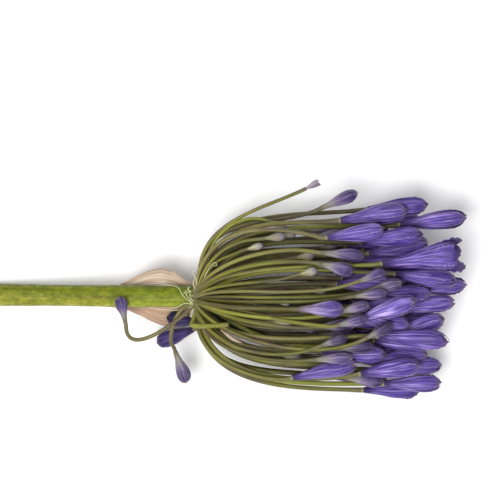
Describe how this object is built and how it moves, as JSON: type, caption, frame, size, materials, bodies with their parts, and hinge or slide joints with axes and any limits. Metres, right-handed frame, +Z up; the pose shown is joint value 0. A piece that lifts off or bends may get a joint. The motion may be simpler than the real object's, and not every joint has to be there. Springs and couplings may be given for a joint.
{
  "type": "agapanthus flower head",
  "caption": "Cut agapanthus umbel in bud, lying on its side: a smooth stem ends in a fan of curved stalks with closed violet buds, and a papery bract hangs back.",
  "frame": {"origin": "on the surface the head lies on, below the middle of its bounding box", "axes": "+X along the stem towards the bud tips, +Z up from the surface, +Y across the head"},
  "size_m": [0.2409, 0.1092, 0.0645],
  "materials": {
    "stem": "satin",
    "bract": "matt",
    "petals": "satin"
  },
  "bodies": {
    "root": {"stem_and_stalks": "stem", "spathe_bract": "bract", "bud_01": "petals", "bud_02": "petals", "bud_03": "petals", "bud_04": "petals", "bud_05": "petals", "bud_06": "petals", "bud_07": "petals", "bud_08": "petals", "bud_09": "petals", "bud_10": "petals", "bud_11": "petals", "bud_12": "petals", "bud_13": "petals", "bud_14": "petals", "bud_15": "petals", "bud_16": "petals", "bud_17": "petals", "bud_18": "petals", "bud_19": "petals", "bud_20": "petals", "bud_21": "petals", "bud_22": "petals", "bud_23": "petals", "bud_24": "petals", "bud_25": "petals", "bud_26": "petals", "bud_27": "petals", "bud_28": "petals", "bud_29": "petals", "bud_30": "petals", "bud_31": "petals", "bud_32": "petals", "bud_33": "petals", "bud_34": "petals", "bud_35": "petals", "bud_36": "petals", "bud_37": "petals", "bud_38": "petals", "bud_39": "petals", "bud_40": "petals", "bud_41": "petals", "bud_42": "petals", "bud_43": "petals", "bud_44": "petals", "bud_45": "petals", "bud_46": "petals", "bud_47": "petals", "bud_48": "petals", "bud_49": "petals", "bud_50": "petals", "bud_51": "petals", "bud_52": "petals", "bud_53": "petals", "bud_54": "petals", "bud_55": "petals", "bud_56": "petals", "bud_57": "petals"}
  },
  "joints": []
}
